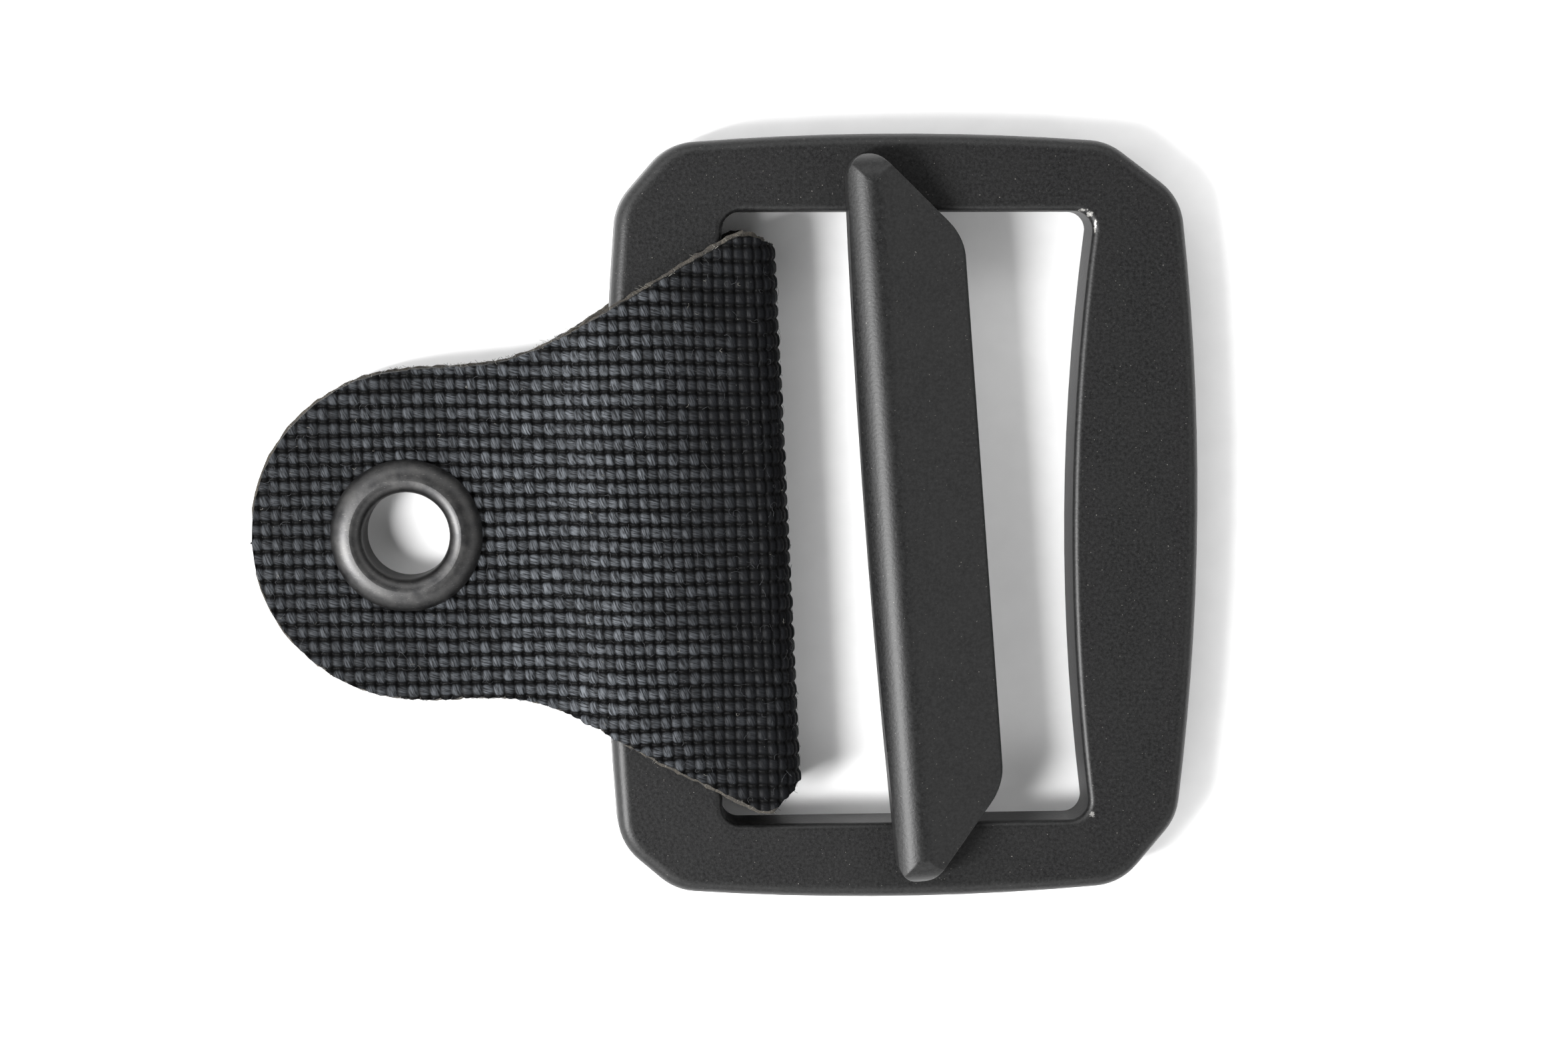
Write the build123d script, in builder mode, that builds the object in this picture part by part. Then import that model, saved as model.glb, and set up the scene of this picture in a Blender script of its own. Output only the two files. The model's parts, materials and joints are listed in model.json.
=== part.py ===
"""Strap adjuster with a floating slide bar and a folded pull tab.

A cast frame has one window. A wedge-shaped slide bar straddles the window and hooks under both rails.
A strip of laminated webbing fabric is folded round one bar of the frame and closed by an eyelet.

Origin: on the plane the buckle lies on, under the centre of the window. +X points from the pull tab to
the gripping bar, +Y runs along the bars, +Z points out of the front face. Lengths are millimetres and
angles are degrees.
"""
from build123d import *
import os
from math import atan2, cos, degrees, radians, sin, sqrt, tan

os.makedirs("parts", exist_ok=True)

# ---------------------------------------------------------------- driving dimensions
# Frame
frame_half_width = 20.05  # centre to the crown of the gripping bar and of the tab bar
frame_half_height = 25.75  # centre to the crown of each rail
frame_thickness = 3.8
rail_bow_radius = 180.0
grip_bar_bow_radius = 170.0
tab_bar_bow_radius = 258.0
corner_blend_radius = 4.0
# Each corner is cut off between a point on its rail (x) and a point on its bar (y).
corner_cuts = {
    "top_left": (-15.7, 21.0),
    "top_right": (13.7, 21.5),
    "bottom_right": (15.0, -20.6),
    "bottom_left": (-15.4, -21.9),
}
outer_edge_radius = 0.9
window_edge_radius = 0.45
back_edge_radius = 0.5
wall_draft = 2.0

# Window, measured on the front face
window_half_height = 20.6
window_left = -12.25
grip_wall_middle = 11.45  # the gripping wall bows into the window
grip_wall_end = 12.85
window_corner_radius = 1.3

# Slide bar
running_clearance = 0.1
bar_width = 8.0
bar_half_length = 24.5
bar_skew = 4.4  # how far the loose bar has turned in the window
bar_middle = (1.3, 0.2)
bar_chamfer_angle = 46.0
bar_thin_edge = 1.0
bar_thick_edge = 3.7  # height of the sharp corner before the crest is rounded
bar_crest_radius = 2.0
bar_tip_radius = 1.5
bar_side_bow = 0.5  # how far the thick side draws in from its middle to its tips
bar_shoulder_radius = 4.0
bar_end_roll_radius = 2.0
bar_rim_radius = 0.35
key_width = 3.8  # the key is the part of the bar that stands in the window
key_offset = -0.5
key_half_length = 19.7
hook_half_length = 21.9
hook_thickness = 1.2
hook_corner_radius = 0.8

# Pull tab
face_fabric_thickness = 0.75
lining_thickness = 0.4
tab_skew = 2.8
tab_fold_middle = (-7.66, -0.19)
tab_half_width = 19.5
tab_widest_reach = 2.4
fold_cut_top = 0.9  # how far each cut edge draws in from the widest point to the fold
fold_cut_bottom = 2.0
tab_neck_reach = 17.9
tab_neck_half_width = 11.1
tab_reach = 36.1
tab_end_offset = 0.4
tab_flare_radius = 1.0
tab_neck_radius = 12.0
tab_end_radius = 11.0
fold_radius = 2.3
loop_bend_reach = 12.6
loop_end_reach = 14.9
loop_slope = 35.0
hinge_reach = 16.4
tongue_droop = 5.6

# Eyelet
eyelet_reach = 25.55
eyelet_offset = 0.46
eyelet_bore_radius = 2.9
barrel_wall = 0.35
flange_radius = 5.1
flange_height = 0.85
washer_radius = 4.9
washer_thickness = 0.3
washer_edge_radius = 0.18
roll_radius = 4.05
roll_height = 0.4

cut_margin = 1.0  # how far a blank stands past the outline it is cut to
corner_tolerance = 0.01

# ---------------------------------------------------------------- derived sizes
frame_back = hook_thickness + running_clearance
frame_front = frame_back + frame_thickness
bar_seat = frame_front + running_clearance
tab_layer = face_fabric_thickness + lining_thickness
tab_front = frame_front + running_clearance + tab_layer
hinge_height = tab_front / 2
barrel_hole_radius = eyelet_bore_radius + barrel_wall
flange_crest_radius = eyelet_bore_radius + flange_height

bar_plane = Plane(Location((*bar_middle, bar_seat), (0, 0, bar_skew)))
tab_plane = Plane(Location((*tab_fold_middle, 0), (0, 0, tab_skew)))
tongue_plane = Plane(tab_plane.location * Location((-hinge_reach, 0, hinge_height), (0, -tongue_droop, 0)))
tongue_eyelet = (hinge_reach - eyelet_reach, eyelet_offset)


def bow(distance, radius):
    """How far an arc of this radius has fallen away from its crown at a distance from it."""
    return radius - sqrt(radius**2 - distance**2)


def section_plane(plane):
    """The upright plane through the plane's X axis, with its own Y pointing up."""
    return Plane(origin=plane.origin, x_dir=plane.x_dir, z_dir=-plane.y_dir)


# ---------------------------------------------------------------- frame
def rail_edge(x):
    return frame_half_height - bow(x, rail_bow_radius)


def grip_bar_edge(y):
    return frame_half_width - bow(y, grip_bar_bow_radius)


def tab_bar_edge(y):
    return -frame_half_width + bow(y, tab_bar_bow_radius)


with BuildPart() as frame:
    with BuildSketch(Plane.XY.offset(frame_back)):
        with BuildLine():
            (left_x, left_y), (right_x, right_y) = corner_cuts["top_left"], corner_cuts["top_right"]
            top = ThreePointArc(
                (left_x, rail_edge(left_x)),
                (0, frame_half_height),
                (right_x, rail_edge(right_x)),
            )
            low_right_x, low_right_y = corner_cuts["bottom_right"]
            grip = ThreePointArc(
                (grip_bar_edge(right_y), right_y),
                (frame_half_width, 0),
                (grip_bar_edge(low_right_y), low_right_y),
            )
            low_left_x, low_left_y = corner_cuts["bottom_left"]
            bottom = ThreePointArc(
                (low_right_x, -rail_edge(low_right_x)),
                (0, -frame_half_height),
                (low_left_x, -rail_edge(low_left_x)),
            )
            tab_side = ThreePointArc(
                (tab_bar_edge(low_left_y), low_left_y),
                (-frame_half_width, 0),
                (tab_bar_edge(left_y), left_y),
            )
            Line(top @ 1, grip @ 0)
            Line(grip @ 1, bottom @ 0)
            Line(bottom @ 1, tab_side @ 0)
            Line(tab_side @ 1, top @ 0)
        make_face()
        fillet(vertices(), radius=corner_blend_radius)
    extrude(amount=frame_thickness)
    with BuildSketch(Plane.XY.offset(frame_front)):
        with BuildLine():
            Polyline(
                (grip_wall_end, window_half_height),
                (window_left, window_half_height),
                (window_left, -window_half_height),
                (grip_wall_end, -window_half_height),
            )
            ThreePointArc(
                (grip_wall_end, -window_half_height),
                (grip_wall_middle, 0),
                (grip_wall_end, window_half_height),
            )
        make_face()
        fillet(vertices(), radius=window_corner_radius)
    extrude(amount=-frame_thickness, taper=wall_draft, mode=Mode.SUBTRACT)
    front_face = faces().sort_by(Axis.Z)[-1]
    fillet(front_face.outer_wire().edges(), radius=outer_edge_radius)
    front_face = faces().sort_by(Axis.Z)[-1]
    fillet(front_face.inner_wires()[0].edges(), radius=window_edge_radius)
    back_face = faces().sort_by(Axis.Z)[0]
    fillet(back_face.edges(), radius=back_edge_radius)

# ---------------------------------------------------------------- slide bar
bar_top_slope = degrees(atan2(bar_thick_edge - bar_thin_edge, bar_width))
tip_half_angle = (90 - bar_chamfer_angle) / 2
tip_corner = bar_half_length + bar_tip_radius * (1 / tan(radians(tip_half_angle)) - 1)
shoulder_corner = tip_corner - bar_width * tan(radians(bar_chamfer_angle))
bar_height = bar_thick_edge + cut_margin
crest_half_angle = radians(90 - bar_top_slope) / 2
bar_height_at_crest = bar_thick_edge - bar_crest_radius / tan(crest_half_angle) + bar_crest_radius
thin_side = bar_width / 2
thick_side = -bar_width / 2
bar_section = section_plane(bar_plane)
bar_side = Plane(origin=bar_plane.origin, x_dir=bar_plane.y_dir, z_dir=bar_plane.x_dir)

with BuildPart() as slide_bar:
    with BuildSketch(bar_section):
        with BuildLine():
            Polyline(
                (thick_side, 0),
                (thin_side, 0),
                (thin_side, bar_thin_edge),
                (thick_side, bar_thick_edge),
                close=True,
            )
        make_face()
        crest = vertices().sort_by(Axis.Y)[-1]
        fillet(crest, radius=bar_crest_radius)
        rim = vertices().group_by(Axis.X)[-1].sort_by(Axis.Y)[-1]
        fillet(rim, radius=bar_rim_radius)
    extrude(amount=tip_corner, both=True)
    with BuildSketch(bar_plane):
        with BuildLine():
            chamfers = Polyline(
                (thick_side + bar_side_bow, -tip_corner),
                (thin_side, -shoulder_corner),
                (thin_side, shoulder_corner),
                (thick_side + bar_side_bow, tip_corner),
            )
            ThreePointArc(chamfers @ 1, (thick_side, 0), chamfers @ 0)
        make_face()
        fillet(vertices().group_by(Axis.X)[-1], radius=bar_shoulder_radius)
        tips = vertices().group_by(Axis.X)[0]
        fillet(tips, radius=bar_tip_radius)
    extrude(amount=bar_height, mode=Mode.INTERSECT)
    with BuildSketch(bar_side):
        with Locations((0, bar_height_at_crest / 2)):
            Rectangle(2 * bar_half_length, bar_height_at_crest)
        fillet(vertices().group_by(Axis.Y)[-1], radius=bar_end_roll_radius)
    extrude(amount=bar_width, both=True, mode=Mode.INTERSECT)
    with BuildSketch(bar_plane):
        with Locations((key_offset, 0)):
            RectangleRounded(key_width, 2 * key_half_length, hook_corner_radius)
    extrude(amount=-bar_seat)
    with BuildSketch(bar_plane.offset(-bar_seat)):
        with Locations((key_offset, 0)):
            RectangleRounded(key_width, 2 * hook_half_length, hook_corner_radius)
    extrude(amount=hook_thickness)


# ---------------------------------------------------------------- pull tab: plan of the folded strip
neck_top = tab_end_offset + tab_neck_half_width
neck_bottom = tab_end_offset - tab_neck_half_width

with BuildSketch() as tab_plan:
    with BuildLine():
        Polyline(
            (0, tab_half_width - fold_cut_top),
            (-tab_widest_reach, tab_half_width),
            (-tab_neck_reach, neck_top),
            (-tab_reach, neck_top),
            (-tab_reach, neck_bottom),
            (-tab_neck_reach, neck_bottom),
            (-tab_widest_reach, -tab_half_width),
            (0, fold_cut_bottom - tab_half_width),
            close=True,
        )
    make_face()
    for reach, radius in (
        (tab_reach, tab_end_radius),
        (tab_neck_reach, tab_neck_radius),
        (tab_widest_reach, tab_flare_radius),
    ):
        corners = vertices().filter_by_position(Axis.X, -reach - corner_tolerance, -reach + corner_tolerance)
        fillet(corners, radius=radius)

with BuildSketch() as tongue_plan:
    with Locations((hinge_reach, 0)):
        add(tab_plan.sketch)
    with Locations((-tab_reach / 2, 0)):
        Rectangle(tab_reach, 2 * tab_half_width, mode=Mode.INTERSECT)
    with Locations(tongue_eyelet):
        Circle(barrel_hole_radius, mode=Mode.SUBTRACT)


# ---------------------------------------------------------------- pull tab: the loop round the bar
def loop_path(depth):
    """Corners of a line that runs inside the folded strip, this deep below its outer surface."""
    slope = radians(loop_slope)
    bend = loop_bend_reach - depth * tan(slope / 2)
    fall = (loop_end_reach - loop_bend_reach) * tan(slope)
    end_reach = loop_end_reach - depth * sin(slope)
    end_sink = fall + depth * cos(slope)
    return [
        (-end_reach, tab_front - end_sink),
        (-bend, tab_front - depth),
        (-depth, tab_front - depth),
        (-depth, depth),
        (-bend, depth),
        (-end_reach, end_sink),
    ]


tab_section = section_plane(tab_plane)

with BuildPart() as tab_loop_fabric:
    fabric_depth = face_fabric_thickness / 2
    with BuildSketch(tab_section):
        with BuildLine():
            FilletPolyline(*loop_path(fabric_depth), radius=fold_radius - fabric_depth)
        trace(line_width=face_fabric_thickness)
    extrude(amount=tab_half_width + cut_margin, both=True)
    with BuildSketch(tab_plane):
        add(tab_plan.sketch)
    extrude(amount=tab_front + cut_margin, mode=Mode.INTERSECT)

with BuildPart() as tab_loop_lining:
    lining_depth = face_fabric_thickness + lining_thickness / 2
    with BuildSketch(tab_section):
        with BuildLine():
            FilletPolyline(*loop_path(lining_depth), radius=fold_radius - lining_depth)
        trace(line_width=lining_thickness)
    extrude(amount=tab_half_width + cut_margin, both=True)
    with BuildSketch(tab_plane):
        add(tab_plan.sketch)
    extrude(amount=tab_front + cut_margin, mode=Mode.INTERSECT)


# ---------------------------------------------------------------- pull tab: the tongue beyond the hinge line
with BuildPart() as tab_tongue_front:
    with BuildSketch(tongue_plane.offset(lining_thickness)):
        add(tongue_plan.sketch)
    extrude(amount=face_fabric_thickness)

with BuildPart() as tab_tongue_lining:
    with BuildSketch(tongue_plane.offset(-lining_thickness)):
        add(tongue_plan.sketch)
    extrude(amount=2 * lining_thickness)

with BuildPart() as tab_tongue_back:
    with BuildSketch(tongue_plane.offset(-lining_thickness)):
        add(tongue_plan.sketch)
    extrude(amount=-face_fabric_thickness)

# ---------------------------------------------------------------- eyelet
eyelet_plane = Plane(tongue_plane.location * Location((*tongue_eyelet, 0)))
eyelet_section = section_plane(eyelet_plane)
eyelet_axis = Axis(eyelet_plane.origin, eyelet_plane.z_dir)
washer_back = -tab_layer - washer_thickness

with BuildPart() as eyelet:
    with BuildSketch(eyelet_section):
        with BuildLine():
            crest_start = (eyelet_bore_radius, tab_layer)
            crest_top = (flange_crest_radius, tab_layer + flange_height)
            inner_turn = TangentArc(crest_start, crest_top, tangent=(0, 1))
            outer_turn = TangentArc(crest_top, (flange_radius, tab_layer), tangent=(1, 0))
            roll_turn = ThreePointArc(
                (roll_radius, washer_back),
                ((eyelet_bore_radius + roll_radius) / 2, washer_back - roll_height),
                (eyelet_bore_radius, washer_back),
            )
            Polyline(
                outer_turn @ 1,
                (barrel_hole_radius, tab_layer),
                (barrel_hole_radius, washer_back),
                roll_turn @ 0,
            )
            Line(roll_turn @ 1, inner_turn @ 0)
        make_face()
    revolve(axis=eyelet_axis)

with BuildPart() as eyelet_washer:
    with BuildSketch(eyelet_plane.offset(-tab_layer)):
        Circle(washer_radius)
        Circle(barrel_hole_radius, mode=Mode.SUBTRACT)
    extrude(amount=-washer_thickness)
    rim = edges().filter_by(GeomType.CIRCLE).group_by(SortBy.RADIUS)[-1]
    fillet(rim.sort_by(Axis.Z)[0], radius=washer_edge_radius)

# ---------------------------------------------------------------- export
sub_parts = {
    "frame": frame,
    "slide_bar": slide_bar,
    "tab_loop_fabric": tab_loop_fabric,
    "tab_loop_lining": tab_loop_lining,
    "tab_tongue_front": tab_tongue_front,
    "tab_tongue_lining": tab_tongue_lining,
    "tab_tongue_back": tab_tongue_back,
    "eyelet": eyelet,
    "eyelet_washer": eyelet_washer,
}
for name, builder in sub_parts.items():
    builder.part.label = name
    export_step(builder.part, f"parts/{name}.step")
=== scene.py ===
"""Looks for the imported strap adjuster: coated castings, a plated eyelet and a folded tab of woven fabric.

Lengths are metres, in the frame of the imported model. The tab is built in strip coordinates: `run` is the
distance along the folded strip from its front free end, `reach` the distance from the fold towards the
free end, `across` the distance from the tab's middle line, and `depth` the distance below the outer surface.
"""
import json
import math

import bpy
import numpy as np
from mathutils import Matrix, Vector


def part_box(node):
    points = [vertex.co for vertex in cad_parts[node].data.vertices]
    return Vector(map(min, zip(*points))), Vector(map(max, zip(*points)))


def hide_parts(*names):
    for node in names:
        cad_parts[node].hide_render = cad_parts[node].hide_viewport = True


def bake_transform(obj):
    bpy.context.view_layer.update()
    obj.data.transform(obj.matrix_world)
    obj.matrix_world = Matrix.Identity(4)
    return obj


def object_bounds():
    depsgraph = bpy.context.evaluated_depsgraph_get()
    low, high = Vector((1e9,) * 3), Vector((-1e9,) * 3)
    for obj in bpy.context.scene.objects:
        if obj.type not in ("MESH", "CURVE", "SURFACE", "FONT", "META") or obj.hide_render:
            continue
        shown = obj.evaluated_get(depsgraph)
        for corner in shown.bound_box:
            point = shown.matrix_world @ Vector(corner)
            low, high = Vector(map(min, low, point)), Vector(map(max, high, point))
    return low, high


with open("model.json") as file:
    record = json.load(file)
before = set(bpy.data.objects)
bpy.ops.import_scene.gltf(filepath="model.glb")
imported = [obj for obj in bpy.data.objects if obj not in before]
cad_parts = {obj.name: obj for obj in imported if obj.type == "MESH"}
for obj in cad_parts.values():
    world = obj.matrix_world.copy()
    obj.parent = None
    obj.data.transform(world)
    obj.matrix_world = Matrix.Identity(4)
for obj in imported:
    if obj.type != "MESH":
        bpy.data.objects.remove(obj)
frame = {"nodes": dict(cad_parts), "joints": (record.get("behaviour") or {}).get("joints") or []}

cad_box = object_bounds()
random = np.random.default_rng(38)
MM = 0.001

# ---------------------------------------------------------------- the tab's plan and layers
fabric_thickness = 0.75 * MM
lining_thickness = 0.4 * MM
tab_thickness = fabric_thickness + lining_thickness
fold_radius = 2.3 * MM
bend_radius = 5.1 * MM
hollow_radius = 5.5 * MM
bend_reach = 12.6 * MM  # where the loop starts to close behind the bar
closing_slope = math.radians(35)
widest_reach = 2.4 * MM
fold_cuts = {1: 0.9 * MM, -1: 2.0 * MM}  # how far each cut edge draws in from its widest point to the fold
half_width = 19.5 * MM
neck_reach = 17.9 * MM
neck_half_width = 11.1 * MM
end_offset = 0.4 * MM  # the neck and its round end lie this far towards the upper rail
end_radius = 11.05 * MM
slanted_cut = 0.30 * MM  # beside the fold the lining stands this much further out than the fabric
edge_softness = 1.1 * MM  # over this length the cut turns from one straight edge into the next

# ---------------------------------------------------------------- the weave
column_pitch = 0.715 * MM
row_pitch = 0.98 * MM
samples_per_column = 8
samples_per_row = 9
column_share = 0.55  # half the width of a yarn, as a share of its pitch
row_share = 0.50
column_lift = 0.07 * MM
row_lift = 0.05 * MM
yarn_crown = 0.22 * MM
row_sink = 0.03 * MM
row_groove = 0.22 * MM
column_groove = 0.09 * MM
groove_share = 0.15  # half the width of a groove, as a share of the pitch
weave_floor = 0.55 * MM
crest_power = 0.5  # below 1 it makes the crests of a yarn's wave broad and flat
section_power = 2.6  # above 2 it makes the section of a yarn square
yarn_sway = 0.10  # how far the yarns wander sideways, as a share of their pitch
column_sway_length = 9 * MM
row_sway_length = 11 * MM
uneven_height = 0.05 * MM  # from the lowest crossing to the highest one
crest_margin = 0.03 * MM  # keeps the highest crossing below the outer surface
row_offset = 40  # keeps the numbers of the rows above zero
tone_count = 256  # crossings each way before their tones repeat
fold_flattening = 0.6  # share of the relief that is pressed flat round the fold
fold_spread = 3.5 * MM

# ---------------------------------------------------------------- cut edges and loose fibres
fray = 0.05 * MM
fray_length = 0.9 * MM
thinnest_quad = 0.0001 * MM  # narrower ones lie past the cut and are left out
wall_rows = 4
wall_bulge = 0.05 * MM
wall_tone = 0.4
wall_painted_shade_depth = 0.45  # how far below the outer surface the cut walls count as lying, as a share of the deepest gap between yarns, which sets the painted shade on the walls
lining_showing = 0.10 * MM  # how far the lining stands out of the fabric's cut all the way round
lining_wave = 0.07 * MM
lining_wave_length = 1.3 * MM
lining_grain = 0.03 * MM
lining_ripple = 0.02 * MM
lining_ripple_length = 1.5 * MM
lining_steps = 72
lining_thin_out = 3  # the lining keeps every third point of the path
rounding_width = 4 * MM  # where the tab is narrower than this, the lining draws in to the fabric's cut
fibre_root = 0.1 * MM  # how far inside the cut a fibre starts
fibre_rise = 0.1 * MM  # the most that a fibre at the cut stands above the outer surface
floor_gap = 0.02 * MM  # fibres stay this far above the plane on which the object rests
lint_depth = 0.06 * MM
lint_margin = 0.5 * MM
lint_clearance = 0.1 * MM  # between the eyelet's flange and the nearest lint
narrowest_lint = 2 * MM  # no lint lies where the tab is narrower than this

joints = {joint["name"]: joint for joint in frame["joints"]}
swing = joints["tab_swing"]
hinge = Vector(swing["pos_m"])
across_axis = Vector(swing["axis"]).normalized()
up_axis = Vector((0, 0, 1))
reach_axis = up_axis.cross(across_axis)
row_slant = -across_axis.x / across_axis.y  # the rows run along X, to which the tab lies skewed


def node_points(name):
    return np.array([vertex.co for vertex in frame["nodes"][name].data.vertices])


def reaches(name):
    """Distances of a node's points along the tab, measured from the hinge line."""
    return (node_points(name) - np.array(hinge)) @ np.array(reach_axis)


hinge_reach = -reaches("tab_loop_fabric").min()
fold_point = hinge - reach_axis * hinge_reach
loop_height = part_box("tab_loop_fabric")[1].z
eyelet_low, eyelet_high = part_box("eyelet")
eyelet_middle = (eyelet_low + eyelet_high) / 2
flange_radius = (eyelet_high.y - eyelet_low.y) / 2
hole_radius = 0.68 * flange_radius  # the fabric's hole, which the flange covers
tongue_length = reaches("tab_tongue_lining").max()
droop = math.asin((hinge.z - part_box("tab_tongue_lining")[0].z - lining_thickness) / tongue_length)


def strip_corners():
    """Corners of the strip's outer surface, as reach and height, from the front free end to the rear one."""
    down_tongue = np.array([math.cos(droop), -math.sin(droop)])
    off_tongue = np.array([math.sin(droop), math.cos(droop)]) * tab_thickness
    middle = np.array([hinge_reach, hinge.z])
    down_loop = np.array([math.cos(closing_slope), -math.sin(closing_slope)])
    up_loop = down_loop * [1, -1]

    def crossing(start, direction, other_start, other_direction):
        steps = np.linalg.solve(np.array([direction, -other_direction]).T, other_start - start)
        return start + direction * steps[0]

    front_bend = np.array([bend_reach, loop_height])
    rear_bend = np.array([bend_reach, 0.0])
    front_hollow = crossing(front_bend, down_loop, middle + off_tongue, down_tongue)
    rear_hollow = crossing(rear_bend, up_loop, middle - off_tongue, down_tongue)
    free_end = middle + down_tongue * tongue_length
    return [
        free_end + off_tongue,
        front_hollow,
        front_bend,
        np.array([0.0, loop_height]),
        np.array([0.0, 0.0]),
        rear_bend,
        rear_hollow,
        free_end - off_tongue,
    ]


def rounded_path(corners, radii, step):
    """Evenly spaced points, and their outward normals, along straight runs joined by arcs."""
    line = [corners[0]]
    for before, corner, after, radius in zip(corners, corners[1:], corners[2:], radii):
        back = (before - corner) / np.linalg.norm(before - corner)
        ahead = (after - corner) / np.linalg.norm(after - corner)
        half_angle = math.acos(np.clip(back @ ahead, -1, 1)) / 2
        tangent = radius / math.tan(half_angle)
        inward = (back + ahead) / np.linalg.norm(back + ahead)
        centre = corner + inward * radius / math.sin(half_angle)
        first = corner + back * tangent - centre
        last = corner + ahead * tangent - centre
        turn = math.pi - 2 * half_angle
        for share in np.linspace(0, 1, 25):
            spoke = (math.sin((1 - share) * turn) * first + math.sin(share * turn) * last) / math.sin(turn)
            line.append(centre + spoke)
    line.append(corners[-1])
    line = np.array(line)
    runs = np.concatenate([[0], np.cumsum(np.linalg.norm(np.diff(line, axis=0), axis=1))])
    count = round(runs[-1] / step)
    even = np.linspace(0, runs[-1], count + 1)
    points = np.stack([np.interp(even, runs, line[:, axis]) for axis in (0, 1)], axis=1)
    tangents = np.gradient(points, axis=0)
    tangents /= np.linalg.norm(tangents, axis=1)[:, None]
    normals = np.stack([-tangents[:, 1], tangents[:, 0]], axis=1)
    return even, points, -normals


corner_radii = [hollow_radius, bend_radius, fold_radius, fold_radius, bend_radius, hollow_radius]
run_step = column_pitch / samples_per_column
path_runs, path_points, path_normals = rounded_path(strip_corners(), corner_radii, run_step)
strip_length = float(path_runs[-1])
fold_index = int(np.argmin(np.abs(path_points[:, 0]) + np.abs(path_points[:, 1] - loop_height / 2)))


def soft_step(value):
    return np.log1p(np.exp(value))


def outline(reach, side):
    """Where the cut edge lies across the tab, on the side towards +1 or -1."""
    neck = end_offset + side * neck_half_width
    slope = (side * half_width - neck) / (neck_reach - widest_reach)
    corner = edge_softness / 3
    past_widest = corner * soft_step((reach - widest_reach) / corner)
    before_widest = corner * soft_step((widest_reach - reach) / corner)
    past_neck = edge_softness * soft_step((reach - neck_reach) / edge_softness)
    draw_in = side * fold_cuts[side] / widest_reach
    cut = side * half_width - slope * (past_widest - past_neck) - draw_in * before_widest
    end_middle = hinge_reach + tongue_length * math.cos(droop) - end_radius
    into_end = np.clip(reach - end_middle, 0, end_radius)
    round_end = end_offset + side * np.sqrt(end_radius**2 - into_end**2)
    inside_cut = side * np.minimum(side * round_end, side * cut)
    return np.where(reach > end_middle, inside_cut, cut)


def place(reach, across, height):
    """Points of the tab in the frame of the model."""
    shape = np.broadcast(reach, across, height).shape
    parts = [np.broadcast_to(value, shape)[..., None] for value in (reach, across, height)]
    axes = [np.array(axis) for axis in (reach_axis, across_axis, up_axis)]
    foot = np.array([fold_point.x, fold_point.y, 0.0])
    return foot + sum(part * axis for part, axis in zip(parts, axes))


def slow_noise(along, over, seed, size):
    """A smooth uneven field between about -1 and 1, whose waves are about this long."""
    waves = np.random.default_rng(seed)
    wave_count = 6
    usual_peak = 3.5  # of the sum of that many waves
    total = 0
    for _ in range(wave_count):
        heading = waves.uniform(0, 2 * math.pi)
        length = size * waves.uniform(0.6, 1.6)
        phase = waves.uniform(0, 2 * math.pi)
        ahead = along * math.cos(heading) + over * math.sin(heading)
        total = total + np.sin(2 * math.pi * ahead / length + phase)
    return total / usual_peak


def flattened(value):
    """A wave with broad flat crests and steep sides."""
    return np.sign(value) * np.abs(value) ** crest_power


def boxy(value):
    """The section of a yarn that its neighbours press square: 1 in the middle, 0 at its sides."""
    return np.sqrt(np.clip(1 - np.abs(value) ** section_power, 0, 1))


def groove(beside):
    """A narrow dip between two yarns."""
    return np.exp(-(((0.5 - np.abs(beside)) / groove_share) ** 2))


def weave(run, across, reach):
    """How far the woven surface lies below the outer one, which yarn is on top, and each crossing's tone."""
    column_sway = yarn_sway * slow_noise(run, across, 3, column_sway_length)
    row_sway = yarn_sway * slow_noise(run, across, 4, row_sway_length)
    column = run / column_pitch + column_sway
    row = (across - reach * row_slant) / row_pitch + row_sway + row_offset
    column_number = np.floor(column)
    row_number = np.floor(row)
    beside_column = column - column_number - 0.5
    beside_row = row - row_number - 0.5
    phase = math.pi * (column_number + row_number)
    column_wave = np.cos(math.pi * beside_row + phase)
    row_wave = -np.cos(math.pi * beside_column + phase)
    column_round = boxy(beside_column / column_share)
    row_round = boxy(beside_row / row_share)
    relief = 1 - fold_flattening * np.exp(-(((run - path_runs[fold_index]) / fold_spread) ** 2))
    column_height = column_lift * flattened(column_wave) + relief * yarn_crown * (column_round - 1)
    row_height = row_lift * flattened(row_wave) + relief * yarn_crown * (row_round - 1) - row_sink
    tone_table = np.random.default_rng(11).uniform(0, 1, (tone_count, tone_count))
    tone = tone_table[column_number.astype(int) % tone_count, row_number.astype(int) % tone_count]
    height = np.maximum(np.maximum(column_height, row_height), -weave_floor)
    height = height - relief * (row_groove * groove(beside_row) + column_groove * groove(beside_column))
    height = height + uneven_height * (tone - 0.5)
    below = column_lift + crest_margin - height
    return np.clip(below, 0, None), column_height > row_height, tone


def mesh_object(name, points, faces, material, smooth=True):
    mesh = bpy.data.meshes.new(name)
    mesh.from_pydata(points.tolist(), [], faces.tolist())
    mesh.materials.append(material)
    mesh.polygons.foreach_set("use_smooth", np.full(len(mesh.polygons), smooth))
    piece = bpy.data.objects.new(name, mesh)
    bpy.context.scene.collection.objects.link(piece)
    return piece


def grid_faces(rows, columns, start=0):
    """Quads between the neighbours of a grid of points that is numbered row by row."""
    corner = (np.arange(rows - 1)[:, None] * columns + np.arange(columns - 1)[None, :]).ravel() + start
    return np.stack([corner, corner + 1, corner + columns + 1, corner + columns], axis=1)


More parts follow.
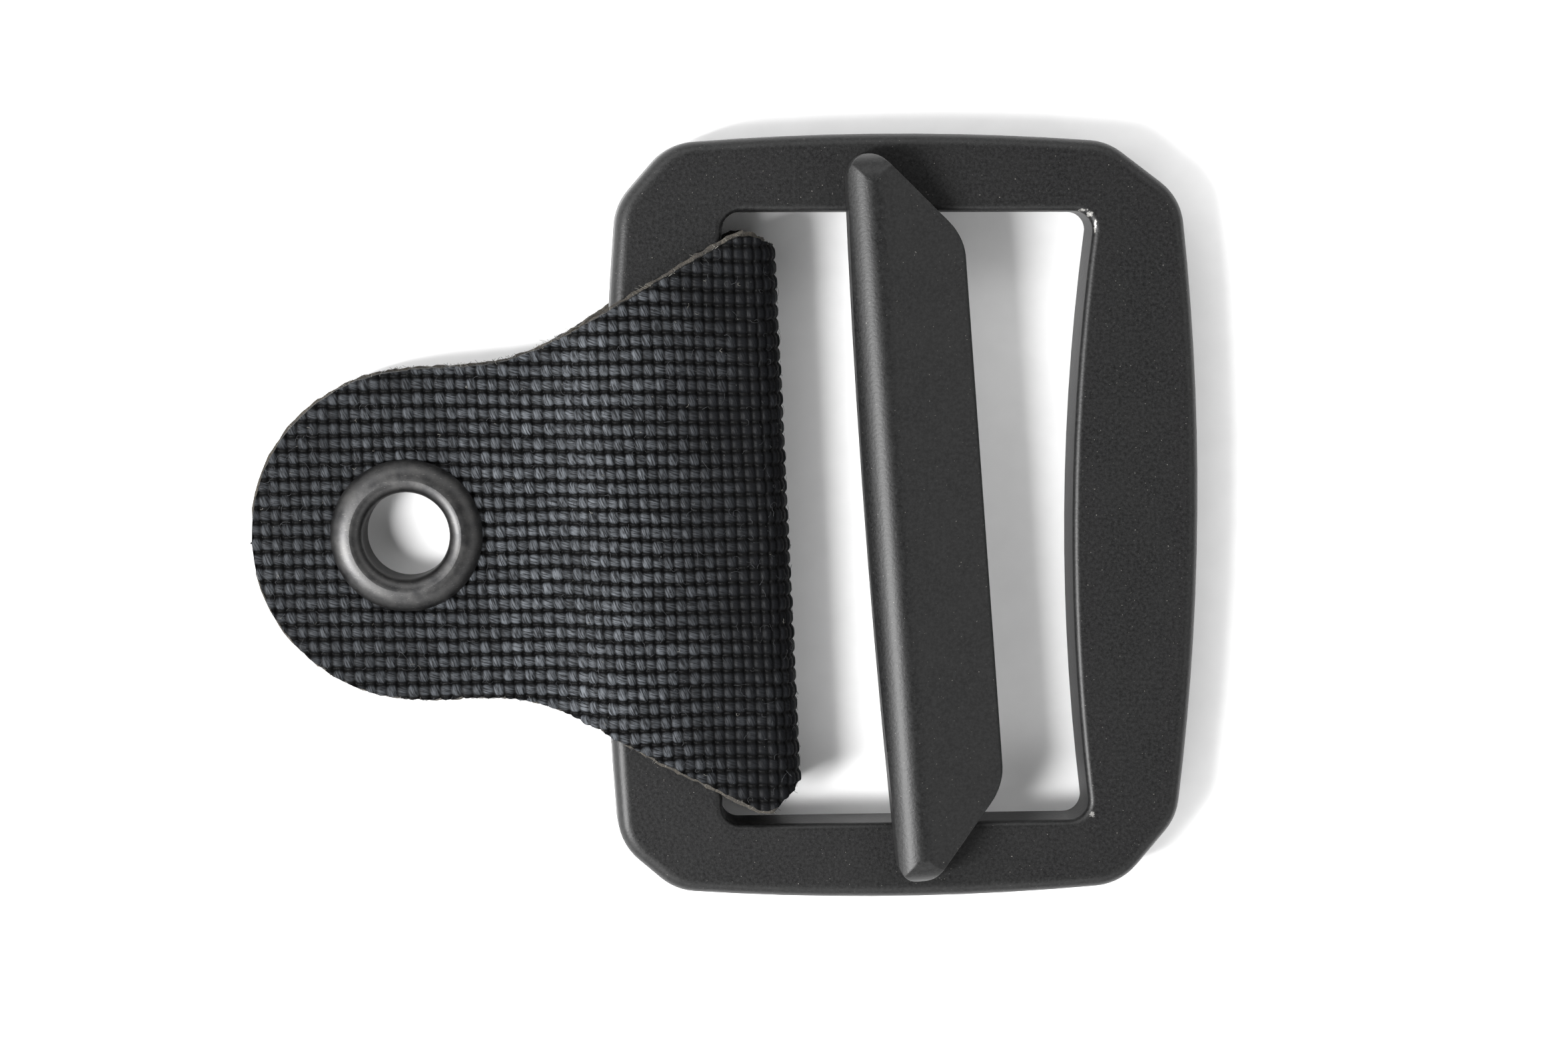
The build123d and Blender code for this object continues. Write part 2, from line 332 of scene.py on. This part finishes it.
def rim_faces(faces, offset):
    """Quads that join the open edges of some faces to the same edges of a layer numbered this much higher."""
    starts, ends = faces.ravel(), np.roll(faces, -1, axis=1).ravel()
    inner_edges = set(zip(ends.tolist(), starts.tolist()))
    rim = np.array([edge for edge in zip(starts.tolist(), ends.tolist()) if edge not in inner_edges])
    return np.stack([rim[:, 1], rim[:, 0], rim[:, 0] + offset, rim[:, 1] + offset], axis=1)


def set_attribute(piece, name, values):
    attribute = piece.data.attributes.new(name, "FLOAT", "POINT")
    attribute.data.foreach_set("value", values.astype(np.float32))


def set_strip_map(piece, run, across):
    """Strip coordinates in millimetres, for the materials."""
    layer = piece.data.uv_layers.new(name="strip")
    corners = np.empty(len(piece.data.loops), np.int32)
    piece.data.loops.foreach_get("vertex_index", corners)
    strip_places = np.stack([run[corners], across[corners]], axis=1).astype(np.float32)
    layer.data.foreach_set("uv", strip_places.ravel() / MM)


def in_eyelet(points, radius):
    """Whether points lie within this distance of the eyelet's axis."""
    axis = np.array(reach_axis * math.sin(droop) + up_axis * math.cos(droop))
    from_middle = points - np.array(eyelet_middle)
    beside = from_middle - np.outer(from_middle @ axis, axis)
    return np.linalg.norm(beside, axis=1) < radius


# ---------------------------------------------------------------- material tools
def new_material(name):
    material = bpy.data.materials.new(name)
    material.use_nodes = True
    return material, material.node_tree, material.node_tree.nodes["Principled BSDF"]


def add_node(tree, kind, **settings):
    node = tree.nodes.new(kind)
    for key, value in settings.items():
        setattr(node, key, value)
    return node


def ramp(tree, source, stops):
    """A colour ramp on a value; stops are pairs of position and grey level or colour."""
    node = add_node(tree, "ShaderNodeValToRGB")
    elements = node.color_ramp.elements
    while len(elements) < len(stops):
        elements.new(0.5)
    for element, (position, colour) in zip(elements, stops):
        element.position = position
        element.color = (*colour, 1) if hasattr(colour, "__len__") else (colour, colour, colour, 1)
    tree.links.new(source, node.inputs[0])
    return node.outputs[0]


def noise(tree, vector, scale, detail=2.0, roughness=0.5):
    node = add_node(tree, "ShaderNodeTexNoise")
    node.inputs["Scale"].default_value = scale
    node.inputs["Detail"].default_value = detail
    node.inputs["Roughness"].default_value = roughness
    tree.links.new(vector, node.inputs["Vector"])
    return node.outputs["Fac"]


def position_in_mm(tree):
    """Object coordinates in millimetres."""
    coordinates = add_node(tree, "ShaderNodeTexCoord")
    scaled = add_node(tree, "ShaderNodeVectorMath", operation="SCALE")
    scaled.inputs["Scale"].default_value = 1 / MM
    tree.links.new(coordinates.outputs["Object"], scaled.inputs[0])
    return scaled.outputs[0]


def blend_colour(tree, factor, first, second):
    """Mixes two colours, each a socket or a colour value."""
    node = add_node(tree, "ShaderNodeMix", data_type="RGBA")
    for socket, value in ((node.inputs[6], first), (node.inputs[7], second)):
        if hasattr(value, "is_linked"):
            tree.links.new(value, socket)
        else:
            socket.default_value = (*value, 1)
    tree.links.new(factor, node.inputs[0])
    return node.outputs[2]


def math_node(tree, operation, first, second, clamp=False):
    node = add_node(tree, "ShaderNodeMath", operation=operation, use_clamp=clamp)
    for socket, value in zip(node.inputs, (first, second)):
        if hasattr(value, "is_linked"):
            tree.links.new(value, socket)
        else:
            socket.default_value = value
    return node.outputs[0]


def add_bump(tree, shader, height, distance, strength=1.0, normal=None):
    node = add_node(tree, "ShaderNodeBump")
    node.inputs["Strength"].default_value = strength
    node.inputs["Distance"].default_value = distance
    tree.links.new(height, node.inputs["Height"])
    if normal is not None:
        tree.links.new(normal, node.inputs["Normal"])
    tree.links.new(node.outputs["Normal"], shader.inputs["Normal"])


def near_spot(tree, place_mm, spot, sizes):
    """1 at a spot, falling to 0 at these distances from it along X, Y and Z, all in millimetres."""
    beside = add_node(tree, "ShaderNodeVectorMath", operation="SUBTRACT")
    beside.inputs[1].default_value = spot
    tree.links.new(place_mm, beside.inputs[0])
    shares = add_node(tree, "ShaderNodeVectorMath", operation="DIVIDE")
    shares.inputs[1].default_value = sizes
    tree.links.new(beside.outputs[0], shares.inputs[0])
    distance = add_node(tree, "ShaderNodeVectorMath", operation="LENGTH")
    tree.links.new(shares.outputs[0], distance.inputs[0])
    return math_node(tree, "SUBTRACT", 1.0, distance.outputs["Value"], clamp=True)


def edge_factor(tree, radius):
    """How far a rounded normal turns away from the true one, which is 0 on flat ground, and that normal."""
    bevel = add_node(tree, "ShaderNodeBevel", samples=6)
    bevel.inputs["Radius"].default_value = radius
    geometry = add_node(tree, "ShaderNodeNewGeometry")
    dot = add_node(tree, "ShaderNodeVectorMath", operation="DOT_PRODUCT")
    tree.links.new(bevel.outputs[0], dot.inputs[0])
    tree.links.new(geometry.outputs["Normal"], dot.inputs[1])
    return math_node(tree, "SUBTRACT", 1.0, dot.outputs["Value"], clamp=True), bevel.outputs[0]


# ---------------------------------------------------------------- coated castings
def coating(name, worn_spots, edge_wear, edge_radius):
    """Matte black coating with a fine grain, pale specks, and bare metal at worn spots and along edges."""
    material, tree, shader = new_material(name)
    place_mm = position_in_mm(tree)
    grain = noise(tree, place_mm, 4.5, 4.0, 0.8)
    cloud = noise(tree, place_mm, 0.35, 3.0)
    orange_peel = noise(tree, place_mm, 5.0, 2.0)
    dust = noise(tree, place_mm, 7.5, 1.0)
    base = ramp(tree, grain, [(0.38, (0.0010, 0.0010, 0.0011)), (0.64, (0.0110, 0.0111, 0.0113))])
    clouded = blend_colour(tree, ramp(tree, cloud, [(0.35, 0.0), (0.7, 0.3)]), base, (0.010, 0.010, 0.0098))
    specked = blend_colour(tree, ramp(tree, dust, [(0.765, 0.0), (0.80, 0.5)]), clouded, (0.25, 0.24, 0.22))
    edge, rounded_normal = edge_factor(tree, edge_radius)
    chips = noise(tree, place_mm, 2.2, 5.0, 0.7)
    rubbed = math_node(tree, "MULTIPLY", edge, ramp(tree, chips, [(0.45, 0.0), (0.62, 1.0)]))
    worn = math_node(tree, "MULTIPLY", rubbed, edge_wear, clamp=True)
    flakes = noise(tree, place_mm, 4.5, 5.0, 0.7)
    for spot, sizes in worn_spots:
        near = math_node(tree, "MULTIPLY", near_spot(tree, place_mm, spot, sizes), 0.5)
        ragged = math_node(tree, "ADD", near, math_node(tree, "MULTIPLY", flakes, 0.9))
        worn = math_node(tree, "MAXIMUM", worn, ramp(tree, ragged, [(0.72, 0.0), (0.80, 1.0)]))
    colour = blend_colour(tree, worn, specked, (0.24, 0.235, 0.225))
    tree.links.new(colour, shader.inputs["Base Color"])
    tree.links.new(math_node(tree, "MULTIPLY", worn, 0.5), shader.inputs["Metallic"])
    shader.inputs["Specular IOR Level"].default_value = 0.32
    roughness = ramp(tree, grain, [(0.2, 0.40), (0.8, 0.48)])
    tree.links.new(roughness, shader.inputs["Roughness"])
    add_bump(tree, shader, orange_peel, 0.014 * MM, 1.0, rounded_normal)
    return material


# Worn spots in millimetres: where each one is, and how far it reaches along X, Y and Z.
frame_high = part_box("frame")[1]
rail_edge = frame_high.y / MM
top_height = frame_high.z / MM
frame_spots = [
    ((11.9, 20.65, top_height), (0.9, 0.2, 0.6)),
    ((12.4, 20.4, top_height), (0.55, 0.45, 0.7)),
    ((12.8, 19.6, top_height), (0.2, 1.2, 0.5)),
    ((12.85, -20.2, top_height), (0.3, 0.45, 0.4)),
    ((-7.0, rail_edge, top_height), (0.5, 0.3, 0.4)),
    ((-4.2, rail_edge, top_height), (0.6, 0.3, 0.4)),
    ((0.4, rail_edge, top_height), (0.35, 0.3, 0.3)),
]
bar_spots = [
    ((-4.1, 19.9, 6.6), (0.3, 0.4, 0.3)),
]


# ---------------------------------------------------------------- plated eyelet
def gunmetal(name):
    """Satin dark plating with smudges, fine pits and a few scratches."""
    material, tree, shader = new_material(name)
    place_mm = position_in_mm(tree)
    smudge = noise(tree, place_mm, 0.9, 4.0, 0.6)
    pits = noise(tree, place_mm, 11.0, 3.0, 0.6)
    scratch_noise = add_node(tree, "ShaderNodeTexNoise")
    stretch = add_node(tree, "ShaderNodeMapping")
    stretch.inputs["Scale"].default_value = (0.7, 9.0, 0.7)
    stretch.inputs["Rotation"].default_value = (0.2, 0.1, 0.9)
    tree.links.new(place_mm, stretch.inputs["Vector"])
    tree.links.new(stretch.outputs[0], scratch_noise.inputs["Vector"])
    scratch = ramp(tree, scratch_noise.outputs["Fac"], [(0.70, 0.0), (0.74, 1.0)])
    base = ramp(tree, smudge, [(0.3, (0.038, 0.038, 0.039)), (0.7, (0.070, 0.069, 0.068))])
    colour = blend_colour(tree, scratch, base, (0.20, 0.195, 0.185))
    tree.links.new(colour, shader.inputs["Base Color"])
    shader.inputs["Metallic"].default_value = 1.0
    tree.links.new(ramp(tree, smudge, [(0.2, 0.36), (0.8, 0.50)]), shader.inputs["Roughness"])
    add_bump(tree, shader, pits, 0.012 * MM, 0.4)
    return material


# ---------------------------------------------------------------- woven face fabric
def strip_vector(tree, along, over, slant):
    """The strip's own coordinates, stretched by a factor each way and slanted like twisted fibres."""
    source = add_node(tree, "ShaderNodeUVMap", uv_map="strip")
    split = add_node(tree, "ShaderNodeSeparateXYZ")
    tree.links.new(source.outputs[0], split.inputs[0])
    run, across = split.outputs[0], split.outputs[1]
    slanted = math_node(tree, "ADD", run, math_node(tree, "MULTIPLY", across, slant[0]))
    leaned = math_node(tree, "ADD", across, math_node(tree, "MULTIPLY", run, slant[1]))
    joined = add_node(tree, "ShaderNodeCombineXYZ")
    tree.links.new(math_node(tree, "MULTIPLY", slanted, along), joined.inputs[0])
    tree.links.new(math_node(tree, "MULTIPLY", leaned, over), joined.inputs[1])
    return joined.outputs[0]


def yarn_fabric(name):
    """Thick black yarns of many fibres with pale lint. The colour holds painted light: painted shade in the
    gaps between yarns, on the lowered yarns and towards the fold, and a blue-grey painted highlight on the
    crowns along the middle of the front layer.
    """
    material, tree, shader = new_material(name)
    column_on_top = add_node(tree, "ShaderNodeAttribute", attribute_name="column_on_top").outputs["Fac"]
    tone = add_node(tree, "ShaderNodeAttribute", attribute_name="tone").outputs["Fac"]
    below = add_node(tree, "ShaderNodeAttribute", attribute_name="below").outputs["Fac"]
    column_fibres = noise(tree, strip_vector(tree, 10.0, 1.3, (0.35, 0.0)), 1.0, 3.0, 0.6)
    row_fibres = noise(tree, strip_vector(tree, 1.3, 10.0, (0.0, 0.3)), 1.0, 3.0, 0.6)
    fibres = add_node(tree, "ShaderNodeMix", data_type="FLOAT")
    tree.links.new(column_on_top, fibres.inputs[0])
    tree.links.new(row_fibres, fibres.inputs[2])
    tree.links.new(column_fibres, fibres.inputs[3])
    fibre = fibres.outputs[0]
    run_share = add_node(tree, "ShaderNodeSeparateXYZ")
    tree.links.new(strip_vector(tree, MM / strip_length, 0.0, (0.0, 0.0)), run_share.inputs[0])
    # Painted light along the strip: a painted highlight on the middle of the front layer, painted shade
    # towards the fold and on the rear layer; random patches are added on top
    painted_light_along_tab = [(0.0, 0.42), (0.14, 0.42), (0.24, 0.85), (0.33, 0.8), (0.40, 0.18), (0.45, 0.0), (0.8, 0.3)]
    patches = noise(tree, strip_vector(tree, 0.22, 0.22, (0.0, 0.0)), 1.0, 2.0)
    uneven = math_node(tree, "MULTIPLY", math_node(tree, "SUBTRACT", patches, 0.52), 0.7)
    painted_light_and_patches = math_node(tree, "ADD", ramp(tree, run_share.outputs[0], painted_light_along_tab), uneven, clamp=True)
    crown = blend_colour(tree, painted_light_and_patches, (0.0024, 0.0027, 0.0036), (0.100, 0.108, 0.119))
    streaks = ramp(tree, fibre, [(0.40, 0.92), (0.60, 0.0)])
    streaked = blend_colour(tree, streaks, crown, (0.0016, 0.0018, 0.0024))
    # Painted shade on the yarns that lie lower, where a row yarn is on top, added to the random tone of each
    # crossing
    sunken_painted_shade = math_node(tree, "MULTIPLY", math_node(tree, "SUBTRACT", 1.0, column_on_top), 0.12)
    tone_and_sunken_shade = math_node(tree, "ADD", ramp(tree, tone, [(0.0, 0.35), (1.0, 0.0)]), sunken_painted_shade, clamp=True)
    toned_and_shaded = blend_colour(tree, tone_and_sunken_shade, streaked, (0.002, 0.0022, 0.003))
    # Painted shade in the gaps between yarns and on the cut walls, the more the further a point lies below
    # the outer surface
    gap_painted_shade = blend_colour(tree, ramp(tree, below, [(0.16, 0.0), (0.46, 1.0)]), toned_and_shaded, (0.0004, 0.0004, 0.0005))
    lint_noise = noise(tree, strip_vector(tree, 7.0, 3.2, (0.5, 0.3)), 1.0, 2.0, 0.7)
    lint = ramp(tree, lint_noise, [(0.735, 0.0), (0.765, 0.75)])
    colour = blend_colour(tree, lint, gap_painted_shade, (0.16, 0.16, 0.15))
    tree.links.new(colour, shader.inputs["Base Color"])
    tree.links.new(ramp(tree, fibre, [(0.3, 0.66), (0.7, 0.48)]), shader.inputs["Roughness"])
    shader.inputs["Specular IOR Level"].default_value = 0.10
    shader.inputs["Sheen Weight"].default_value = 0.015
    shader.inputs["Sheen Roughness"].default_value = 0.4
    add_bump(tree, shader, fibre, 0.045 * MM, 0.8)
    return material


# ---------------------------------------------------------------- lining, cut edges and loose fibres
def lining_cloth(name):
    """Bonded grey-tan backing: short felted fibres, soiled in random patches."""
    material, tree, shader = new_material(name)
    place_mm = position_in_mm(tree)
    felt = noise(tree, place_mm, 7.0, 5.0, 0.7)
    soil = noise(tree, place_mm, 0.8, 3.0)
    base = ramp(tree, felt, [(0.35, (0.014, 0.0125, 0.0105)), (0.68, (0.085, 0.074, 0.058))])
    colour = blend_colour(tree, ramp(tree, soil, [(0.35, 0.6), (0.65, 0.0)]), base, (0.020, 0.018, 0.016))
    tree.links.new(colour, shader.inputs["Base Color"])
    shader.inputs["Roughness"].default_value = 0.9
    add_bump(tree, shader, felt, 0.08 * MM, 0.9)
    return material


def fibre_material(name, dark, light):
    material, tree, shader = new_material(name)
    place_mm = position_in_mm(tree)
    colour = ramp(tree, noise(tree, place_mm, 0.9, 1.0), [(0.35, dark), (0.65, light)])
    tree.links.new(colour, shader.inputs["Base Color"])
    shader.inputs["Roughness"].default_value = 0.55
    return material


coat_frame = coating("coat_frame", frame_spots, 1.2, 0.12 * MM)
coat_bar = coating("coat_bar", bar_spots, 0.6, 0.18 * MM)
plating = gunmetal("plating")
fabric = yarn_fabric("face_yarns")
backing = lining_cloth("backing")
dark_fibre = fibre_material("dark_fibre", (0.010, 0.011, 0.013), (0.040, 0.042, 0.046))
pale_fibre = fibre_material("pale_fibre", (0.08, 0.074, 0.062), (0.26, 0.25, 0.22))

for node_name, material in (
    ("frame", coat_frame),
    ("slide_bar", coat_bar),
    ("eyelet", plating),
    ("eyelet_washer", plating),
):
    node = frame["nodes"][node_name]
    node.data.materials.clear()
    node.data.materials.append(material)


# ---------------------------------------------------------------- the woven strip
def woven_strip():
    """The face fabric: a woven outer surface that ends in a cut wall down to the lining."""
    across_step = row_pitch / samples_per_row
    row_count = int(2 * half_width / across_step) + 3
    even_across = (np.arange(row_count) - (row_count - 1) / 2) * across_step
    reach = path_points[:, 0]
    low, high = outline(reach, -1), outline(reach, 1)
    high = np.maximum(high, low)
    frayed = fray * slow_noise(path_runs, 0, 21, fray_length)
    low, high = low + frayed, high + frayed[::-1]
    across = np.clip(even_across[None, :], low[:, None], high[:, None])
    run = np.broadcast_to(path_runs[:, None], across.shape)
    side_reach = np.broadcast_to(reach[:, None], across.shape)
    below, column_on_top, tone = weave(run, across, side_reach)
    depth_point = path_points[:, None, :] - path_normals[:, None, :] * below[..., None]
    points = place(depth_point[..., 0], across, depth_point[..., 1]).reshape(-1, 3)
    faces = grid_faces(len(reach), row_count)
    flat_across = across.ravel()
    spread = flat_across[faces].max(axis=1) - flat_across[faces].min(axis=1)
    faces = faces[spread > thinnest_quad]
    faces = faces[~in_eyelet(points[faces].mean(axis=1), hole_radius)]
    walls = []
    for edge in (low, high):
        top_below = weave(path_runs, edge, reach)[0]
        for level in range(wall_rows):
            share = level / (wall_rows - 1)
            bulge = wall_bulge * math.sin(math.pi * share)
            depth = top_below * (1 - share) + fabric_thickness * share
            outward = bulge if edge is high else -bulge
            base = path_points - path_normals * depth[:, None]
            walls.append(place(base[:, 0], edge + outward, base[:, 1]))
    wall_start = len(points)
    wall_faces = []
    for side in range(2):
        block = grid_faces(wall_rows, len(reach), wall_start + side * wall_rows * len(reach))
        wall_faces.append(block if side == 0 else block[:, ::-1])
    all_points = np.concatenate([points, *walls])
    all_faces = np.concatenate([faces, *wall_faces])
    piece = mesh_object("tab_weave", all_points, all_faces, fabric)
    wall_count = 2 * wall_rows
    wall_run = np.tile(path_runs, wall_count)
    wall_across = np.concatenate([np.tile(low, wall_rows), np.tile(high, wall_rows)])
    on_walls = np.ones(wall_count * len(reach))
    set_attribute(piece, "column_on_top", np.concatenate([column_on_top.ravel(), on_walls * 0]))
    set_attribute(piece, "tone", np.concatenate([tone.ravel(), on_walls * wall_tone]))
    set_attribute(piece, "below", np.concatenate([below.ravel() / weave_floor, on_walls * wall_painted_shade_depth]))
    set_strip_map(
        piece,
        np.concatenate([run.ravel(), wall_run]),
        np.concatenate([flat_across, wall_across]),
    )
    return piece


def lining_strip():
    """The bonded backing: a thin closed slab inside the fold, whose ragged edge shows beside the fabric's."""
    index = np.arange(0, len(path_runs), lining_thin_out)
    reach, runs = path_points[index, 0], path_runs[index]
    ragged = lining_showing + lining_wave * slow_noise(runs, 0, 31, lining_wave_length)
    ragged = ragged + random.normal(0, lining_grain, len(index))
    ragged = ragged + slanted_cut * np.clip(1 - reach / neck_reach, 0, 1)
    at_end = np.clip((outline(reach, 1) - outline(reach, -1)) / rounding_width, 0, 1)
    low = outline(reach, -1) - ragged * at_end
    high = outline(reach, 1) + ragged[::-1] * at_end
    share = np.linspace(0, 1, lining_steps)
    across = low[:, None] * (1 - share) + high[:, None] * share
    layers = []
    ripple = lining_ripple * slow_noise(runs[:, None], across, 32, lining_ripple_length)
    for depth in (fabric_thickness, tab_thickness):
        base = path_points[index][:, None, :] - path_normals[index][:, None, :] * (depth + ripple)[..., None]
        layers.append(place(base[..., 0], across, base[..., 1]).reshape(-1, 3))
    points = np.concatenate(layers)
    count = len(index) * lining_steps
    outer = grid_faces(len(index), lining_steps)
    outer = outer[~in_eyelet(points[outer].mean(axis=1), hole_radius)]
    inner = outer[:, ::-1] + count
    faces = np.concatenate([outer, inner, rim_faces(outer, count)])
    return mesh_object("tab_lining", points, faces, backing)


def fibre_tubes(name, lines, radius, material):
    """Thin three-sided tubes along short lines of points."""
    lines = np.array(lines)
    count, length, _ = lines.shape
    tangents = np.gradient(lines, axis=1)
    tangents /= np.linalg.norm(tangents, axis=2, keepdims=True)
    side = np.cross(tangents, np.array([0.3, 0.5, 0.81]))
    side /= np.linalg.norm(side, axis=2, keepdims=True)
    other = np.cross(tangents, side)
    rings = []
    for corner in range(3):
        angle = 2 * math.pi * corner / 3
        rings.append(lines + radius * (math.cos(angle) * side + math.sin(angle) * other))
    points = np.stack(rings, axis=2).reshape(-1, 3)
    ring = np.arange(3)
    start = (np.arange(count)[:, None] * length + np.arange(length - 1)[None, :]).ravel() * 3
    first = start[:, None] + ring
    second = start[:, None] + (ring + 1) % 3
    faces = np.stack([first, second, second + 3, first + 3], axis=2).reshape(-1, 4)
    return mesh_object(name, points, faces, material)


def edge_fuzz(name, amount, material, radius, longest):
    """Fibre ends that stand out of the cut edges of both layers."""
    lines = []
    for _ in range(amount):
        index = random.integers(4, len(path_runs) - 1)
        edge = random.choice([-1, 1])
        reach = path_points[index, 0]
        root_depth = random.uniform(0.15, 1.0) * tab_thickness
        length = random.uniform(0.2, 1.0) * longest
        lean = random.normal(0, 0.8)
        lift = random.normal(0.1, 0.4)
        curl = random.normal(0, 0.5)
        line = []
        for share in np.linspace(0, 1, 5):
            out = length * share
            along = index + (lean * out + curl * out * share) / run_step
            at = int(np.clip(along, 0, len(path_runs) - 1))
            depth = np.clip(root_depth - lift * out, -fibre_rise, tab_thickness)
            base = path_points[at] - path_normals[at] * depth
            across = outline(reach, edge) + edge * (out - fibre_root)
            line.append(place(base[0], across, max(base[1], floor_gap)))
        lines.append(line)
    return fibre_tubes(name, lines, radius, material)


def surface_lint(name, amount, material, radius, longest):
    """Stray fibres that lie on the woven faces."""
    lines = []
    while len(lines) < amount:
        index = random.integers(10, len(path_runs) - 10)
        reach = path_points[index, 0]
        low, high = float(outline(reach, -1)), float(outline(reach, 1))
        if high - low < narrowest_lint:
            continue
        across = random.uniform(low + lint_margin, high - lint_margin)
        length = random.uniform(0.2, 1.0) * longest
        heading = random.uniform(0, 2 * math.pi)
        curl = random.normal(0, 1.2)
        arch = random.uniform(0.0, 0.12) * MM
        line = []
        for share in np.linspace(-0.5, 0.5, 6):
            turn = heading + curl * share
            at = int(np.clip(index + length * share * math.cos(turn) / run_step, 0, len(path_runs) - 1))
            over = across + length * share * math.sin(turn)
            depth = lint_depth - arch * math.cos(math.pi * share)
            base = path_points[at] - path_normals[at] * depth
            line.append(place(base[0], over, max(base[1], floor_gap)))
        if not in_eyelet(np.array(line), flange_radius + lint_clearance).any():
            lines.append(line)
    return fibre_tubes(name, lines, radius, material)


weave_piece = woven_strip()
lining_piece = lining_strip()
tab_pieces = [
    edge_fuzz("tab_fuzz_pale", 900, pale_fibre, 0.012 * MM, 0.35 * MM),
    edge_fuzz("tab_fuzz_dark", 700, dark_fibre, 0.013 * MM, 0.4 * MM),
    surface_lint("tab_lint_pale", 110, pale_fibre, 0.009 * MM, 0.35 * MM),
    surface_lint("tab_lint_dark", 1500, dark_fibre, 0.009 * MM, 0.9 * MM),
]

for piece in (weave_piece, lining_piece, *tab_pieces):
    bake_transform(piece)
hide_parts("tab_loop_fabric", "tab_tongue_front", "tab_tongue_back")
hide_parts("tab_loop_lining", "tab_tongue_lining")


# ---------------------------------------------------------------- floor, light and camera
def pale_floor():
    """A plain pale sheet on which the object rests."""
    side = 1.2  # metres from its middle to each edge
    corners = np.array([(-side, -side, 0), (side, -side, 0), (side, side, 0), (-side, side, 0)])
    material, tree, shader = new_material("paper_floor")
    fine = noise(tree, position_in_mm(tree), 0.5, 3.0)
    tone = ramp(tree, fine, [(0.3, (0.87, 0.87, 0.87)), (0.7, (0.90, 0.90, 0.90))])
    tree.links.new(tone, shader.inputs["Base Color"])
    shader.inputs["Roughness"].default_value = 0.8
    floor = mesh_object("floor", corners, np.array([[0, 1, 2, 3]]), material, smooth=False)


def soft_light(name, direction, distance, size, power):
    """A rectangular lamp that looks at the middle of the object."""
    lamp = bpy.data.lights.new(name, "AREA")
    lamp.shape = "RECTANGLE"
    lamp.size, lamp.size_y = size
    lamp.energy = power
    light = bpy.data.objects.new(name, lamp)
    bpy.context.scene.collection.objects.link(light)
    towards = Vector(direction).normalized()
    light.location = object_middle + towards * distance
    light.rotation_euler = (-towards).to_track_quat("-Z", "Y").to_euler()


def studio_world():
    """A bright ring of soft light, strongest on the tab's side and dark straight above."""
    world = bpy.data.worlds.new("studio")
    world.use_nodes = True
    tree = world.node_tree
    direction = add_node(tree, "ShaderNodeTexCoord").outputs["Generated"]
    split = add_node(tree, "ShaderNodeSeparateXYZ")
    tree.links.new(direction, split.inputs[0])
    heights = [(0.0, 0.12), (0.34, 0.30), (0.58, 1.0), (0.70, 0.85), (0.84, 0.06), (1.0, 0.01)]
    ring = ramp(tree, split.outputs["Z"], heights)
    from_left = math_node(tree, "SUBTRACT", 0.86, math_node(tree, "MULTIPLY", split.outputs["X"], 0.50))
    background = tree.nodes["Background"]
    tree.links.new(math_node(tree, "MULTIPLY", ring, from_left), background.inputs["Color"])
    background.inputs["Strength"].default_value = 3.9
    bpy.context.scene.world = world


def photo_camera(aim, towards, distance, lens):
    """The photograph's view: Y is upward, and the camera is this far from the aim in this direction."""
    camera_data = bpy.data.cameras.new("camera")
    camera_data.lens = lens
    camera_data.sensor_width = 36
    camera_data.clip_start = 0.01
    camera_data.clip_end = 10
    camera = bpy.data.objects.new("camera", camera_data)
    bpy.context.scene.collection.objects.link(camera)
    right = Vector((0, 1, 0)).cross(towards).normalized()
    upward = towards.cross(right)
    turn = Matrix((right, upward, towards)).transposed().to_4x4()
    camera.matrix_world = Matrix.Translation(aim + towards * distance) @ turn
    bpy.context.scene.camera = camera


object_low, object_high = cad_box
object_middle = (object_low + object_high) / 2
camera_aim = Vector((-8.1 * MM, -0.15 * MM, frame_high.z))
camera_direction = Vector((-0.0839, 0.0940, 0.9920)).normalized()

pale_floor()
soft_light("window_light", direction=(-1.0, -0.36, 1.0), distance=0.36, size=(0.07, 0.20), power=2.5)
studio_world()
bpy.context.scene.view_settings.view_transform = "Standard"
photo_camera(camera_aim, camera_direction, distance=262.2 * MM, lens=90)
